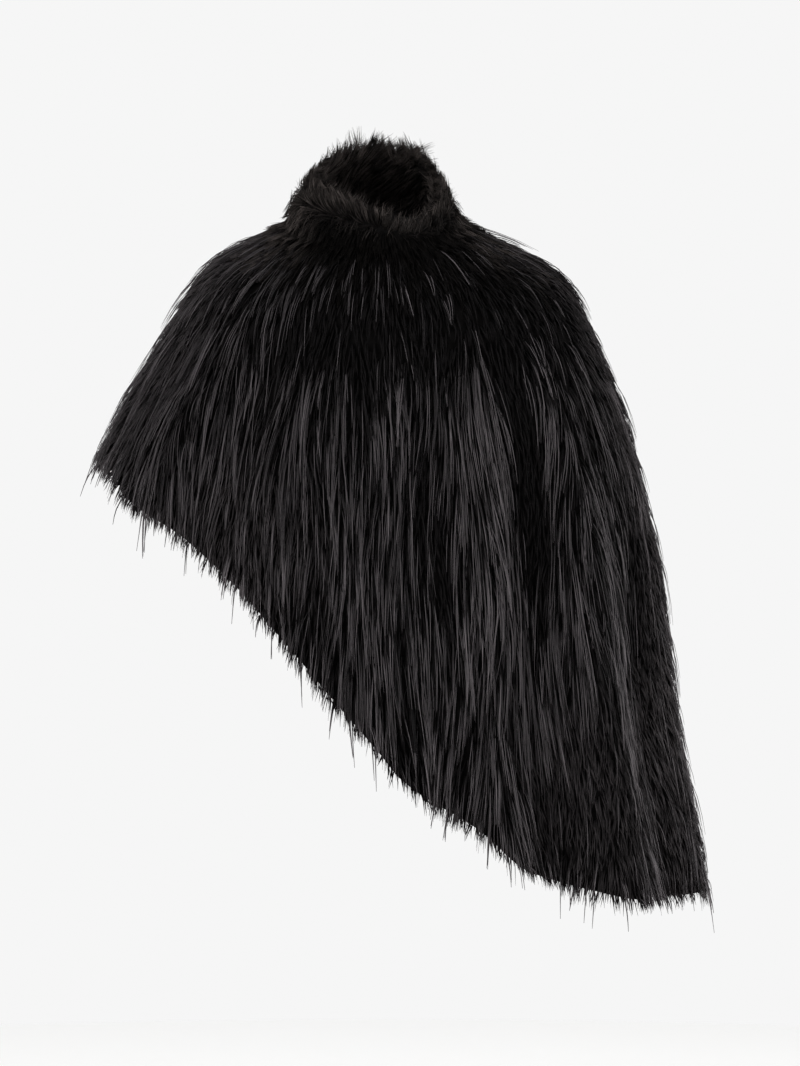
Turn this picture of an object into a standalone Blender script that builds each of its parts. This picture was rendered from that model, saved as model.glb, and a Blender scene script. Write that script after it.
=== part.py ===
"""Asymmetric cape of long-pile black fur cloth with a funnel collar, in its worn shape, with nobody inside.

Metres, +Z up. The wearer would face -Y, so the short side is at -X and the long side at +X. The origin is the
middle of the wearer's neck base, where neck and shoulders carry the cape.
An angle of 0 is the middle of the front, 90 the long side, 180 the middle of the back and -90 the short side.
A way of -1 is the collar's rim, 0 the neck seam and 1 the hem.
"""

import math
import random
from collections import namedtuple

import bmesh
import bpy
import numpy as np
from mathutils import Vector

# Fur cloth: each wall is the backing together with its pile, as thick as the pile lies
BODY_WALL = 0.012
COLLAR_WALL = 0.011
FACING_WALL = 0.009
SEAM_GAP = 0.0003

# Sections of the drape, from the neck seam down. drop is the depth below the origin at the sides, nod how much
# lower the front lies, and left, right, front and back are the reach from the neck's middle. corner squares the
# oval, in radians. The back lies higher than the sides by a share of the nod.
Level = namedtuple("Level", "drop nod left right front back corner")
LEVELS = [
    Level(-0.016, 0.040, 0.118, 0.100, 0.088, 0.092, 0.000),
    Level(0.004, 0.044, 0.154, 0.136, 0.103, 0.104, 0.010),
    Level(0.024, 0.048, 0.194, 0.178, 0.116, 0.114, 0.025),
    Level(0.048, 0.048, 0.221, 0.217, 0.126, 0.121, 0.045),
    Level(0.080, 0.044, 0.242, 0.240, 0.136, 0.128, 0.055),
    Level(0.140, 0.034, 0.275, 0.266, 0.150, 0.136, 0.060),
    Level(0.210, 0.020, 0.315, 0.293, 0.164, 0.143, 0.060),
    Level(0.290, 0.008, 0.351, 0.313, 0.175, 0.150, 0.055),
    Level(0.420, 0.000, 0.389, 0.338, 0.186, 0.158, 0.050),
    Level(0.560, 0.000, 0.420, 0.352, 0.196, 0.168, 0.050),
    Level(0.700, 0.000, 0.450, 0.377, 0.206, 0.178, 0.050),
    Level(0.860, 0.000, 0.480, 0.400, 0.216, 0.188, 0.050),
]
SEAM = LEVELS[0]
BACK_NOD_SHARE = 0.45

# The slanting hem: how far below the origin it lies, from the short side round the front to the long side
HemPoint = namedtuple("HemPoint", "angle drop")
HEM = [
    HemPoint(-90, 0.271),
    HemPoint(-67, 0.287),
    HemPoint(-54, 0.319),
    HemPoint(-38, 0.357),
    HemPoint(-24, 0.425),
    HemPoint(-14, 0.495),
    HemPoint(-4, 0.579),
    HemPoint(4, 0.649),
    HemPoint(15, 0.701),
    HemPoint(25, 0.751),
    HemPoint(35, 0.774),
    HemPoint(48, 0.787),
    HemPoint(65, 0.788),
    HemPoint(90, 0.777),
]
BACK_HEM_RISE = 0.014

# The funnel collar: its sections from the neck seam up, and its rim's height all round
CollarRow = namedtuple("CollarRow", "share left right front back")
COLLAR = [
    CollarRow(0.00, SEAM.left, SEAM.right, SEAM.front, SEAM.back),
    CollarRow(0.35, 0.112, 0.094, 0.083, 0.088),
    CollarRow(0.70, 0.101, 0.086, 0.079, 0.084),
    CollarRow(1.00, 0.083, 0.075, 0.073, 0.078),
]
RimPoint = namedtuple("RimPoint", "angle height")
RIM = [
    RimPoint(-180, 0.112),
    RimPoint(-135, 0.103),
    RimPoint(-90, 0.078),
    RimPoint(-60, 0.058),
    RimPoint(-30, 0.038),
    RimPoint(0, 0.019),
    RimPoint(22, 0.009),
    RimPoint(45, 0.016),
    RimPoint(60, 0.029),
    RimPoint(90, 0.056),
    RimPoint(120, 0.090),
    RimPoint(150, 0.108),
    RimPoint(180, 0.112),
]

# Soft folds that hang from the shoulders: a ridge stands out and a trough, with its depth below 0, goes in.
# start is the drop where the fold begins and width its half-width in degrees.
Fold = namedtuple("Fold", "angle width depth start")
FOLDS = [
    Fold(-72, 12, -0.006, 0.08),
    Fold(-46, 13, 0.007, 0.12),
    Fold(-27, 10, -0.007, 0.16),
    Fold(-8, 12, 0.008, 0.18),
    Fold(8, 8, -0.006, 0.30),
    Fold(19, 8, 0.009, 0.20),
    Fold(29, 9, -0.014, 0.16),
    Fold(44, 10, 0.012, 0.12),
    Fold(58, 9, -0.010, 0.26),
    Fold(74, 10, 0.010, 0.20),
    Fold(106, 12, -0.008, 0.18),
    Fold(127, 12, 0.010, 0.16),
    Fold(148, 11, -0.010, 0.20),
    Fold(170, 13, 0.010, 0.16),
    Fold(193, 12, -0.009, 0.18),
    Fold(215, 12, 0.008, 0.14),
    Fold(240, 13, -0.007, 0.10),
]
FOLD_GROWS_OVER = 0.35

# Locks of guard hair: they hang from the hem and stand up from the collar's rim
HEM_LOCKS_PER_COLUMN = 3
RIM_LOCKS_PER_COLUMN = 1
LOCK_STRIP = 0.004
LOCK_GAP = 0.0015
HEM_LOCK_LENGTH = (0.008, 0.017)
LONG_LOCK_LENGTH = (0.026, 0.040)
LONG_LOCK_EVERY = 5
RIM_LOCK_LENGTH = (0.006, 0.012)
RIM_LOCK_LEAN = 0.7
LOCK_SEED = 7

# Columns and rows of each wall's faces. Rows lie closer at the shoulders than at the hem.
BODY_GRID = (34, 20)
COLLAR_GRID = (22, 5)
ROW_EASE = 1.35
BODY_TOP_WAY = 0.0003
COLLAR_FOOT_WAY = -0.003
FACING_TOP_WAY = -0.985

FUR_BLACK = (0.012, 0.011, 0.012, 1.0)
FUR_ROUGHNESS = 0.45
TURN_STEP = 0.5
WAY_STEP = 0.01
SQUARED_NEAR_SEAM = 10


def smooth_curve(places, values):
    """A curve through the given values that never overshoots them, held at its ends."""
    places, values = np.array(places, float), np.array(values, float)
    steps = np.diff(places)
    rises = np.diff(values) / steps
    slopes = np.zeros(len(places))
    slopes[0], slopes[-1] = rises[0], rises[-1]
    for i in range(1, len(places) - 1):
        before, after = rises[i - 1], rises[i]
        if before * after > 0:
            slopes[i] = 2 * before * after / (before + after)

    def value(place):
        place = min(max(place, places[0]), places[-1])
        i = min(max(int(np.searchsorted(places, place)) - 1, 0), len(steps) - 1)
        t = (place - places[i]) / steps[i]
        low = values[i] * (1 + 2 * t) + slopes[i] * steps[i] * t
        high = values[i + 1] * (3 - 2 * t) - slopes[i + 1] * steps[i] * (1 - t)
        return low * (1 - t) ** 2 + high * t**2

    return value


def columns_of(rows, key):
    """One smooth curve for each column of a table, read by its key column."""
    keys = [getattr(row, key) for row in rows]
    return {name: smooth_curve(keys, [getattr(row, name) for row in rows]) for name in rows[0]._fields}


LEVEL_AT = columns_of(LEVELS, "drop")
COLLAR_AT = columns_of(COLLAR, "share")
FRONT_HEM = columns_of(HEM, "angle")["drop"]
RIM_HEIGHT = columns_of(RIM, "angle")["height"]


def mirrored_to_front(angle):
    """The angle on the front that lies opposite an angle on the back."""
    angle = (angle + 180) % 360 - 180
    if abs(angle) <= 90:
        return angle
    return math.copysign(180 - abs(angle), angle)


def hem_drop(angle):
    back_share = max(0.0, -math.cos(math.radians(angle)))
    return FRONT_HEM(mirrored_to_front(angle)) - BACK_HEM_RISE * back_share


def rim_height(angle):
    return RIM_HEIGHT((angle + 180) % 360 - 180)


def oval_point(angle, left, right, front, back, corner):
    """A point of a section that reaches a different way to each side, flat, with its outward direction."""
    turn = math.radians(angle)
    square = corner * math.sin(2 * turn)
    wide = right if math.sin(turn) > 0 else left
    deep = front if math.cos(turn) > 0 else back
    point = Vector((wide * math.sin(turn + square), -deep * math.cos(turn - square), 0))
    out = Vector((math.sin(turn) / wide, -math.cos(turn) / deep, 0)).normalized()
    return point, out


def fold_depth(angle, drop):
    """How far the folds move the cloth in or out here."""
    total = 0.0
    for fold in FOLDS:
        off = abs((angle - fold.angle + 180) % 360 - 180) / fold.width
        if off < 1 and drop > fold.start:
            grown = min((drop - fold.start) / FOLD_GROWS_OVER, 1)
            total += fold.depth * math.sin(grown * math.pi / 2) * math.cos(off * math.pi / 2) ** 2
    return total


def nod_drop(angle, nod):
    """How much lower a section lies here than at the sides. The share below 0 is eased in from the side seams."""
    facing = math.cos(math.radians(angle))
    if facing < 0:
        facing *= 1 - (1 - BACK_NOD_SHARE) * math.sqrt(-facing)
    return nod * facing


def drape_point(angle, way):
    drop = SEAM.drop + (hem_drop(angle) - SEAM.drop) * way
    sizes = {name: LEVEL_AT[name](drop) for name in ("left", "right", "front", "back", "corner")}
    point, out = oval_point(angle, **sizes)
    point += out * fold_depth(angle, drop)
    point.z = -drop - nod_drop(angle, LEVEL_AT["nod"](drop))
    return point


def collar_point(angle, share):
    sizes = {name: COLLAR_AT[name](share) for name in ("left", "right", "front", "back")}
    point, _ = oval_point(angle, corner=SEAM.corner, **sizes)
    foot = -SEAM.drop - nod_drop(angle, SEAM.nod)
    point.z = foot + (rim_height(angle) - foot) * share
    return point


def outer_point(angle, way):
    """A point on the cape's outside."""
    return drape_point(angle, way) if way >= 0 else collar_point(angle, -way)


def onward(angle, way):
    """The direction along the cloth from the collar's rim to the hem. At the neck seam it halves the corner there."""
    here = outer_point(angle, way)
    before = here - outer_point(angle, max(way - WAY_STEP, -1.0))
    after = outer_point(angle, min(way + WAY_STEP, 1.0)) - here
    return (before.normalized() + after.normalized()).normalized()


def sideways(angle, way):
    """The direction along the cloth towards larger angles."""
    return (outer_point(angle + TURN_STEP, way) - outer_point(angle - TURN_STEP, way)).normalized()


def outward(angle, way):
    """The direction out of the cloth. Near a side seam it is squared to the seam, so that both panels end flat."""
    out = onward(angle, way).cross(sideways(angle, way))
    out.y *= min(abs(90 - abs((angle + 180) % 360 - 180)) / SQUARED_NEAR_SEAM, 1)
    return out.normalized()


def wall_point(angle, way, depth):
    """A point inside the wall, this deep below the cape's outside."""
    return outer_point(angle, way) - outward(angle, way) * depth


def seam_slack(way):
    """Half the gap of a side seam, in degrees."""
    if way >= 0:
        deep = LEVEL_AT["front"](SEAM.drop + (HEM[-1].drop - SEAM.drop) * way)
    else:
        deep = COLLAR_AT["front"](-way)
    return math.degrees(SEAM_GAP / 2 / deep)


def panel_angle(middle, share, way):
    """The angle at a share of the width of a front or back panel, which ends just short of its side seams."""
    return middle + (2 * share - 1) * (90 - seam_slack(way))


def slab(columns, rows):
    """A flat grid extruded once into a slab: for each vertex, its share across and down, and 1 on the inner layer."""
    mesh = bmesh.new()
    bmesh.ops.create_grid(mesh, x_segments=columns, y_segments=rows, size=0.5)
    reach = max(vert.co.x for vert in mesh.verts)
    extruded = bmesh.ops.extrude_face_region(mesh, geom=mesh.faces[:])["geom"]
    inner = {item for item in extruded if isinstance(item, bmesh.types.BMVert)}
    spots = {
        vert: ((vert.co.x / reach + 1) / 2, (vert.co.y / reach + 1) / 2, int(vert in inner))
        for vert in mesh.verts
    }
    return mesh, spots


def add_piece(mesh, name, material, collection):
    bmesh.ops.recalc_face_normals(mesh, faces=mesh.faces[:])
    data = bpy.data.meshes.new(name)
    mesh.to_mesh(data)
    mesh.free()
    data.shade_smooth()
    data.set_sharp_from_angle(angle=math.radians(50))
    data.materials.append(material)
    piece = bpy.data.objects.new(name, data)
    collection.objects.link(piece)
    return piece


def cloth_wall(name, middle, ways, grid, depths, material, collection):
    """One panel of fur cloth: a slab bent to the cape's shape, between two ways and two depths."""
    mesh, spots = slab(*grid)
    for vert, (across, down, layer) in spots.items():
        way = ways[0] + (ways[1] - ways[0]) * down**ROW_EASE
        vert.co = wall_point(panel_angle(middle, across, way), way, depths[layer])
    return add_piece(mesh, name, material, collection)


def lock_strip(name, middle, way, columns, per_column, depth, tip_of, material, collection):
    """A narrow strip along an edge of the cloth, with each face of its free edge drawn out into a pointed lock.

    It runs straight between the cloth's own columns, so the gap to the cloth is even.
    """
    count = columns * per_column
    mesh, spots = slab(count, 1)
    sign = 1 if way > 0 else -1
    for vert, (across, down, layer) in spots.items():
        column = min(int(across * columns + 1e-6), columns - 1)
        off_edge = LOCK_GAP + LOCK_STRIP * down
        ends = []
        for corner in (column, column + 1):
            angle = panel_angle(middle, corner / columns, way)
            ends.append(wall_point(angle, way, depth * layer) + onward(angle, way) * sign * off_edge)
        vert.co = ends[0].lerp(ends[1], across * columns - column)
    free = [face for face in mesh.faces if all(spots[vert][1] == 1 for vert in face.verts)]
    free.sort(key=lambda face: sum(spots[vert][0] for vert in face.verts))
    for number, face in enumerate(free):
        angle = panel_angle(middle, (number + 0.5) / count, way)
        tip = bmesh.ops.poke(mesh, faces=[face])["verts"][0]
        tip.co += tip_of(angle, number)
    return add_piece(mesh, name, material, collection)


def hem_tip(dice):
    """How far each hem lock hangs below its strip: mostly short tufts, with a longer wisp now and then."""

    def tip(angle, number):
        lengths = HEM_LOCK_LENGTH if number % LONG_LOCK_EVERY else LONG_LOCK_LENGTH
        fall = (onward(angle, 1.0) + Vector((0, 0, -1))).normalized()
        return fall * dice.uniform(*lengths)

    return tip


def rim_tip(dice):
    """How far each rim lock stands above its strip, leaning away from the middle of the front."""

    def tip(angle, number):
        lean = sideways(angle, -1.0) * math.copysign(RIM_LOCK_LEAN, (angle + 180) % 360 - 180)
        rise = (outward(angle, -1.0) * 0.4 - onward(angle, -1.0) + lean).normalized()
        return rise * dice.uniform(*RIM_LOCK_LENGTH)

    return tip


def fur_material(name):
    material = bpy.data.materials.new(name)
    material.use_nodes = True
    shader = material.node_tree.nodes["Principled BSDF"]
    shader.inputs["Base Color"].default_value = FUR_BLACK
    shader.inputs["Roughness"].default_value = FUR_ROUGHNESS
    shader.inputs["Metallic"].default_value = 0.0
    material.diffuse_color = FUR_BLACK
    return material


def main():
    for old in list(bpy.data.objects):
        bpy.data.objects.remove(old)
    cape = bpy.data.collections.new("fur_cape")
    bpy.context.scene.collection.children.link(cape)
    body_fur = fur_material("body_fur")
    collar_fur = fur_material("collar_fur")
    guard_hair = fur_material("guard_hair")
    dice = random.Random(LOCK_SEED)

    facing_top = COLLAR_WALL + SEAM_GAP
    rim_depth = facing_top + FACING_WALL
    for side, middle in (("front", 0), ("back", 180)):
        cloth_wall(side, middle, (BODY_TOP_WAY, 1.0), BODY_GRID, (0.0, BODY_WALL), body_fur, cape)
        collar_ways = (COLLAR_FOOT_WAY, -1.0)
        facing_ways = (COLLAR_FOOT_WAY, FACING_TOP_WAY)
        collar = (0.0, COLLAR_WALL)
        facing = (facing_top, rim_depth)
        cloth_wall(f"collar_{side}", middle, collar_ways, COLLAR_GRID, collar, collar_fur, cape)
        cloth_wall(f"facing_{side}", middle, facing_ways, COLLAR_GRID, facing, collar_fur, cape)
        hem_name, rim_name = f"hem_locks_{side}", f"rim_locks_{side}"
        hem = (1.0, BODY_GRID[0], HEM_LOCKS_PER_COLUMN, BODY_WALL, hem_tip(dice))
        rim = (-1.0, COLLAR_GRID[0], RIM_LOCKS_PER_COLUMN, rim_depth, rim_tip(dice))
        lock_strip(hem_name, middle, *hem, guard_hair, cape)
        lock_strip(rim_name, middle, *rim, guard_hair, cape)


main()
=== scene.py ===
"""Dresses the cape's solids in long-pile black fur: knit backing, dense underfur and glossy guard hair.

Metres, +Z up. The front faces -Y, the short side is at -X and the long side at +X. The origin is the
middle of the wearer's neck base. An angle of 0 is the middle of the front, 90 the long side, 180 the
middle of the back and -90 the short side. A way of -1 is the collar's rim, 0 the neck seam and 1 the hem.
"""

import math
from collections import namedtuple

import bpy
import numpy as np
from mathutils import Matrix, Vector


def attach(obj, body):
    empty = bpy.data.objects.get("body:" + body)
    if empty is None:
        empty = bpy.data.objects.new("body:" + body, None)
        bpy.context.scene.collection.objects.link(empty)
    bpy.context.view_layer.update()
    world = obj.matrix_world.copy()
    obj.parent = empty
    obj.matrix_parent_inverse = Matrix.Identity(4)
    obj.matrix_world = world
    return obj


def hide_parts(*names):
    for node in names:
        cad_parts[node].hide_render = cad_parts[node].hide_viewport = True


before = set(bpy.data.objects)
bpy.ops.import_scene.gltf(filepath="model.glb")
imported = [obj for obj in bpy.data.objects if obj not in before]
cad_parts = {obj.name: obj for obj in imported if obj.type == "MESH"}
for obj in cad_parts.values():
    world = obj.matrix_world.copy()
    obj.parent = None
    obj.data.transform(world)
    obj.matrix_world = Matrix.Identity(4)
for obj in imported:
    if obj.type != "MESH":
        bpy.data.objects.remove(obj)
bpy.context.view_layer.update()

# The cape's form, as in its solids: sections of the drape from the neck seam down
Level = namedtuple("Level", "drop nod left right front back corner")
LEVELS = [
    Level(-0.016, 0.040, 0.118, 0.100, 0.088, 0.092, 0.000),
    Level(0.004, 0.044, 0.154, 0.136, 0.103, 0.104, 0.010),
    Level(0.024, 0.048, 0.194, 0.178, 0.116, 0.114, 0.025),
    Level(0.048, 0.048, 0.221, 0.217, 0.126, 0.121, 0.045),
    Level(0.080, 0.044, 0.242, 0.240, 0.136, 0.128, 0.055),
    Level(0.140, 0.034, 0.275, 0.266, 0.150, 0.136, 0.060),
    Level(0.210, 0.020, 0.315, 0.293, 0.164, 0.143, 0.060),
    Level(0.290, 0.008, 0.351, 0.313, 0.175, 0.150, 0.055),
    Level(0.420, 0.000, 0.389, 0.338, 0.186, 0.158, 0.050),
    Level(0.560, 0.000, 0.420, 0.352, 0.196, 0.168, 0.050),
    Level(0.700, 0.000, 0.450, 0.377, 0.206, 0.178, 0.050),
    Level(0.860, 0.000, 0.480, 0.400, 0.216, 0.188, 0.050),
]
SEAM = LEVELS[0]
BACK_NOD_SHARE = 0.45

# The slanting hem, from the short side round the front to the long side
HemPoint = namedtuple("HemPoint", "angle drop")
HEM = [
    HemPoint(-90, 0.271),
    HemPoint(-67, 0.287),
    HemPoint(-54, 0.319),
    HemPoint(-38, 0.357),
    HemPoint(-24, 0.425),
    HemPoint(-14, 0.495),
    HemPoint(-4, 0.579),
    HemPoint(4, 0.649),
    HemPoint(15, 0.701),
    HemPoint(25, 0.751),
    HemPoint(35, 0.774),
    HemPoint(48, 0.787),
    HemPoint(65, 0.788),
    HemPoint(90, 0.777),
]
BACK_HEM_RISE = 0.014

# The funnel collar: its sections from the neck seam up, and its rim's height all round
CollarRow = namedtuple("CollarRow", "share left right front back")
COLLAR = [
    CollarRow(0.00, SEAM.left, SEAM.right, SEAM.front, SEAM.back),
    CollarRow(0.35, 0.112, 0.094, 0.083, 0.088),
    CollarRow(0.70, 0.101, 0.086, 0.079, 0.084),
    CollarRow(1.00, 0.083, 0.075, 0.073, 0.078),
]
RimPoint = namedtuple("RimPoint", "angle height")
RIM = [
    RimPoint(-180, 0.112),
    RimPoint(-135, 0.103),
    RimPoint(-90, 0.078),
    RimPoint(-60, 0.058),
    RimPoint(-30, 0.038),
    RimPoint(0, 0.019),
    RimPoint(22, 0.009),
    RimPoint(45, 0.016),
    RimPoint(60, 0.029),
    RimPoint(90, 0.056),
    RimPoint(120, 0.090),
    RimPoint(150, 0.108),
    RimPoint(180, 0.112),
]

# Soft folds: ridges and, with a depth below 0, troughs
Fold = namedtuple("Fold", "angle width depth start")
FOLDS = [
    Fold(-72, 12, -0.006, 0.08),
    Fold(-46, 13, 0.007, 0.12),
    Fold(-27, 10, -0.007, 0.16),
    Fold(-8, 12, 0.008, 0.18),
    Fold(8, 8, -0.006, 0.30),
    Fold(19, 8, 0.009, 0.20),
    Fold(29, 9, -0.014, 0.16),
    Fold(44, 10, 0.012, 0.12),
    Fold(58, 9, -0.010, 0.26),
    Fold(74, 10, 0.010, 0.20),
    Fold(106, 12, -0.008, 0.18),
    Fold(127, 12, 0.010, 0.16),
    Fold(148, 11, -0.010, 0.20),
    Fold(170, 13, 0.010, 0.16),
    Fold(193, 12, -0.009, 0.18),
    Fold(215, 12, 0.008, 0.14),
    Fold(240, 13, -0.007, 0.10),
]
FOLD_GROWS_OVER = 0.35

# The two body panels: the angle at the middle of each, and the seed of its fur
Panel = namedtuple("Panel", "middle seed")
PANELS = {"front": Panel(0, 21), "back": Panel(180, 41)}
SIDE_SEAM = 90

# Steps of angle and way over which directions along the cloth are taken
TURN_STEP = 0.5
WAY_STEP = 0.01

# The knit backing that the pile stands on: how deep it lies below the cape's outside, its thickness,
# single and folded, and where it ends at the rim and before the hem
PILE_DEPTH = 0.009
BACKING_THICK = 0.002
COLLAR_FOLD = 0.0035
RIM_WAY = -0.97
HEM_INSET = 0.005

# The backing's columns and rows, which lie closer near the neck, and its two sides in the map of the cut
BACKING_COLUMNS = 61
BODY_BACKING_ROWS = 48
COLLAR_BACKING_ROWS = 12
ROW_EASE = 1.2
CUT_MARGIN = 0.02
CUT_WIDE = 0.46
CUT_TALL = 0.96
WRONG_SIDE_SHIFT = 0.5

# A record for the cut size of a cloth piece, laid flat: the longest lines across and along, and the area
Cut = namedtuple("Cut", "across along area")

# Beds that fur grows on reach past their panel, so that hair can lie across a seam or hang below the hem
PAST_HEM = 0.070
PAST_RIM = 0.30
PAST_NECK = 0.12
PAST_SEAM = 10
COLLAR_PAST_SEAM = 24
BED_ROWS = 64
BED_STEP = 1

# The way from one part of the collar's bed to the next, and half the bed's thickness at its crest
COLLAR_BED_GAP = 0.02
CREST_HALF = 0.0005

# How far the body's hair turns to straight down, and the way to the hem as a share of the drop
HANG = 1.8
SLOPE = 1.03

# Swirls in the body's hair, in degrees, and bunches of long locks: waves round and down the cape
Swirl = namedtuple("Swirl", "turn round down")
SWIRLS = [
    Swirl(5, 11, 13),
    Swirl(3, 25, -22),
]
SWIRLS_GROW_OVER = 0.1
Bunch = namedtuple("Bunch", "round down shift")
BUNCHES = [
    Bunch(19, 5, 0.0),
    Bunch(34, -9, 1.7),
    Bunch(55, 14, 0.6),
]
BUNCH_EDGE = 1.5

# Where long locks lie thicker or thinner, and longer or shorter, than over the rest of the cape, and
# where painted sheen brightens, or painted shade darkens, the short fur between them, which also turns
# fine where that share is high
Patch = namedtuple("Patch", "angle drop wide tall locks length plush")
PATCHES = [
    Patch(-2, 0.000, 44, 0.050, -0.55, -0.35, -0.40),
    Patch(-2, 0.072, 50, 0.062, -1.00, -0.20, -0.70),
    Patch(54, 0.040, 44, 0.100, -0.95, -0.30, -0.45),
    Patch(10, 0.340, 6, 0.130, -0.60, 0.00, -0.40),
    Patch(24, 0.340, 5, 0.380, 0.70, 0.15, 0.20),
    Patch(31, 0.220, 9, 0.280, -1.00, 0.00, -0.70),
    Patch(38, 0.660, 18, 0.170, -0.90, -0.30, 3.30),
    Patch(54, 0.300, 12, 0.260, -0.30, 0.00, 0.20),
    Patch(63, 0.550, 10, 0.360, -0.60, 0.00, 0.00),
    Patch(86, 0.220, 34, 0.400, -0.55, -0.10, 0.00),
    Patch(82, 0.320, 24, 0.440, 0.00, 0.00, 5.00),
    Patch(74, 0.640, 28, 0.260, -0.30, -0.15, 6.00),
    Patch(-66, 0.020, 40, 0.070, -0.60, -0.20, 1.00),
    Patch(-85, 0.160, 44, 0.220, 0.00, 0.00, 6.00),
    Patch(-30, 0.360, 28, 0.120, -0.20, -0.20, 5.00),
    Patch(108, 0.330, 9, 0.240, -0.60, 0.00, -0.50),
    Patch(128, 0.360, 9, 0.320, 0.40, 0.10, 0.20),
    Patch(150, 0.300, 9, 0.260, -0.80, 0.00, -0.60),
    Patch(158, 0.640, 18, 0.140, -0.80, -0.30, 0.30),
    Patch(170, 0.320, 9, 0.300, 0.40, 0.10, 0.20),
    Patch(194, 0.260, 9, 0.200, -0.70, 0.00, -0.50),
    Patch(184, 0.030, 60, 0.060, -0.80, -0.40, -0.50),
    Patch(236, 0.100, 16, 0.080, 0.30, 0.00, 0.20),
]

# A patch fades out over this share of its reach, and all of them together leave these shares at least
PATCH_EDGE = 0.55
LEAST_SHARES = {"locks": 0.05, "length": 0.3, "plush": 0.15}

# Plush and painted sheen over which short fur turns fine, and the room above the hem over which the hem's
# fur ends
FINE_PLUSH = (1.8, 5.0)
AT_HEM = (0.012, 0.03)

# How the layers of body fur follow the bunches, the patches and the hem, as shares
LOCKS_BETWEEN_BUNCHES = 0.35
LOCKS_BY_BUNCH = 1.3
GUARD_COVER = 0.3
GUARD_COVER_BY_LOCKS = 0.7
GUARD_MOST_LOCKS = 1.2
GUARD_FINE_THINNED = 0.6
GUARD_PILE = 0.4
GUARD_PILE_BY_LENGTH = 0.6
# Painted sheen and gloss of guard hair, and the most that the patches may raise them
GUARD_SHEEN_AND_GLOSS = 0.38
GUARD_MOST_SHEEN = 1.4
UNDERFUR_HEM_COVER = 2.6
UNDERFUR_FINE_COVER = 1.6
UNDERFUR_HEM_NARROWED = 0.4
UNDERFUR_FINE_NARROWED = 0.45
UNDERFUR_FINE_TRIMMED = 0.15
# Painted sheen and gloss of underfur, which the patches scale
UNDERFUR_SHEEN_AND_GLOSS = 0.052

# Where the collar's fur changes: round the neck in degrees, up the collar as shares of its height,
# and below the neck seam by drop and by way
BEHIND = (60, 120)
BACK_CORNER = (95, 125)
BACK_MIDDLE = (150, 178)
SHORT_SIDE_LIT = (40, 70)
FRONT_MIDDLE = 8
FRONT_REACH = (40, 75)
NEAR_RIM = (0.6, 0.95)
BELOW_RIM = (0.55, 0.9)
LIT_HEIGHT = (0.45, 0.85)
AWAY_HEIGHT = (0.35, 0.85)
TURN_UP_HEIGHT = (0.35, 0.95)
COLLAR_FUR_THINS = (-0.01, 0.045)
COLLAR_FUR_FLATTENS = (0.0, 0.03)

# What the collar's fur gains in each of its zones; the last column is painted sheen and shade, darker in
# the facing and below the rim in front, where shade falls, and lighter where the facing and the front rim
# are lit
CollarZone = namedtuple("CollarZone", "cover pile stand gloss")
COLLAR_ZONES = {
    "rim": CollarZone(0.40, -0.30, -0.30, 0.00),
    "rim_in_front": CollarZone(0.00, 0.00, 0.00, 0.20),
    "rim_behind": CollarZone(0.60, 0.15, 0.00, 0.00),
    "rim_left_back": CollarZone(0.00, 0.45, 0.00, 0.00),
    "rim_right_back": CollarZone(0.00, 0.25, 0.00, 0.00),
    "front_below_rim": CollarZone(0.00, 0.00, 0.00, -0.95),
    "facing": CollarZone(0.00, 0.00, 0.00, -0.55),
    "lit_facing": CollarZone(0.00, 0.00, 0.00, 0.40),
    "below_neck_seam": CollarZone(0.00, 0.00, -0.45, 0.00),
}

# How far it leans: outside, away from the middle of the front, and inside, to the long side behind,
# where the left back leans less
AWAY_LEAN = 0.8
AWAY_GAIN = 1.6
AWAY_SHIFT = 0.15
FACING_LEAN = 0.4
BACK_LEAN = 1.9
LEFT_BACK_LEAN = 1.4

# Fur sizes of each layer: strands and locks a square metre, a strand's length and thickness, how it lifts
# off the cloth, how its lock holds together, how far it hangs past the hem, and its steps from root to tip
Size = namedtuple("Size", "name long_locks guard_hair underfur collar_fur")
FUR_SIZES = [
    Size("Strands", 13500.0, 9500.0, 19000.0, 140000.0),
    Size("Locks", 7000.0, 6000.0, 9000.0, 14000.0),
    Size("Length", 0.115, 0.070, 0.034, 0.034),
    Size("Shortest", 0.4, 0.5, 0.7, 0.6),
    Size("Root Radius", 0.0005, 0.0006, 0.0016, 0.0006),
    Size("Tip Share", 0.3, 0.12, 0.1, 0.12),
    Size("Lift", 0.0115, 0.0080, 0.0075, 0.011),
    Size("Rise", 3.0, 2.6, 2.0, 1.4),
    Size("Root Gather", 0.3, 0.0, 0.0, 0.0),
    Size("Gather", 0.88, 0.8, 0.4, 0.45),
    Size("Stray", 0.08, 0.08, 0.1, 0.08),
    Size("Waver", 0.0010, 0.0015, 0.004, 0.002),
    Size("Overhang", 0.007, 0.008, 0.014, 1.0),
    Size("Wisps", 0.16, 0.03, 0.0, 0.0),
    Size("Wisp Overhang", 0.050, 0.030, 0.014, 1.0),
    Size("Wisp Width", 1.9, 1.4, 1.0, 1.0),
    Size("Dark Locks", 0.55, 2.0, 0.35, 1.0),
    Size("Steps", 4, 3, 2, 2),
]

# What chance decides for each lock or strand, with the seed of its draw, and the least and most it gives
DRAWS = {
    "lock_length": 11,
    "lock_is_wisp": 12,
    "lock_lift": 13,
    "strand": 14,
    "lock_overhang": 15,
    "lock_tone": 16,
    "strand_sway": 17,
    "lock_stray": 18,
}
LOCK_LIFT = (0.5, 1.2)
LOCK_OVERHANG = (0.2, 1.0)
STRAND_LENGTH = (0.82, 1.0)
STRAND_LIFT = (0.85, 1.1)
STRAND_OVERHANG = (0.7, 1.1)
STRAND_TONE = (0.6, 1.0)

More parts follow.
